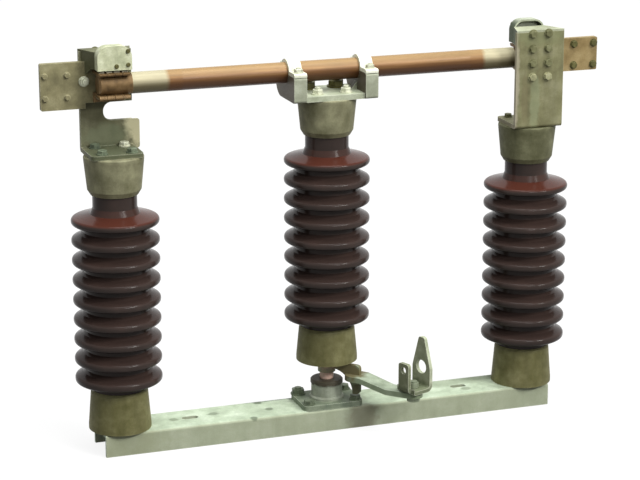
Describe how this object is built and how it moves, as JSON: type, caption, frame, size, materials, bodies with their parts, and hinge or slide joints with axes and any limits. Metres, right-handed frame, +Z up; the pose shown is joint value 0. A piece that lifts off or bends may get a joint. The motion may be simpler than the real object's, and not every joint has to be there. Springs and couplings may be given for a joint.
{
  "type": "substation disconnect switch",
  "caption": "Outdoor double-break disconnect switch: a copper blade on a turning porcelain post opens from finger contacts on two fixed posts.",
  "frame": {"origin": "under the turning post's axis, midway along the base, in the plane the flange edges rest on", "axes": "+X along the base and the closed blade, +Y towards the back, +Z up"},
  "size_m": [1.042, 0.2409, 0.747],
  "materials": {
    "galvanised_steel": "weathered hot-dip galvanised",
    "porcelain": "dark chocolate-brown glaze",
    "cap_iron": "olive grey-green paint on cast iron",
    "bracket_steel": "olive grey-green paint",
    "copper_tube": "plain drawn copper",
    "plated_copper": "silver plate on copper",
    "finger_copper": "oxidised copper",
    "spring_steel": "plain spring steel",
    "terminal_copper": "weathered tinned copper",
    "shield_alloy": "weathered aluminium sheet",
    "cast_alloy": "cast aluminium alloy"
  },
  "bodies": {
    "frame": {"base_channel": "galvanised_steel", "bearing_plate": "galvanised_steel", "bearing_housing": "galvanised_steel", "left_porcelain": "porcelain", "left_top_cap": "cap_iron", "left_bottom_cap": "cap_iron", "left_bracket": "bracket_steel", "left_upper_fingers": "finger_copper", "left_lower_fingers": "finger_copper", "left_upper_springs": "spring_steel", "left_lower_springs": "spring_steel", "left_hood": "bracket_steel", "left_contact_shield": "shield_alloy", "left_terminal_bar": "terminal_copper", "right_porcelain": "porcelain", "right_top_cap": "cap_iron", "right_bottom_cap": "cap_iron", "right_bracket": "bracket_steel", "right_upper_fingers": "finger_copper", "right_lower_fingers": "finger_copper", "right_upper_springs": "spring_steel", "right_lower_springs": "spring_steel", "right_hood": "bracket_steel", "right_contact_shield": "shield_alloy", "right_terminal_bar": "terminal_copper"},
    "rotor": {"spindle": "galvanised_steel", "centre_porcelain": "porcelain", "centre_top_cap": "cap_iron", "centre_bottom_cap": "cap_iron", "operating_lever": "galvanised_steel", "link_pin": "galvanised_steel", "mount_plate": "cast_alloy", "left_saddle": "cast_alloy", "right_saddle": "cast_alloy", "left_saddle_strap": "cast_alloy", "right_saddle_strap": "cast_alloy", "blade_tube": "copper_tube", "left_blade_tip": "plated_copper", "right_blade_tip": "plated_copper", "left_contact_head": "finger_copper", "right_contact_head": "finger_copper"},
    "clamp": {"link_clamp": "galvanised_steel"}
  },
  "joints": [
    {"name": "centre_rotation", "type": "hinge", "parent": "frame", "child": "rotor", "pos_m": [0, 0, 0.07], "axis": [0, 0, 1], "range_deg": [0, 70]},
    {"name": "clamp_swivel", "type": "hinge", "parent": "rotor", "child": "clamp", "pos_m": [0.12228, -0.13345, 0.096], "axis": [0, 0, 1], "range_deg": [-60, 60]}
  ]
}
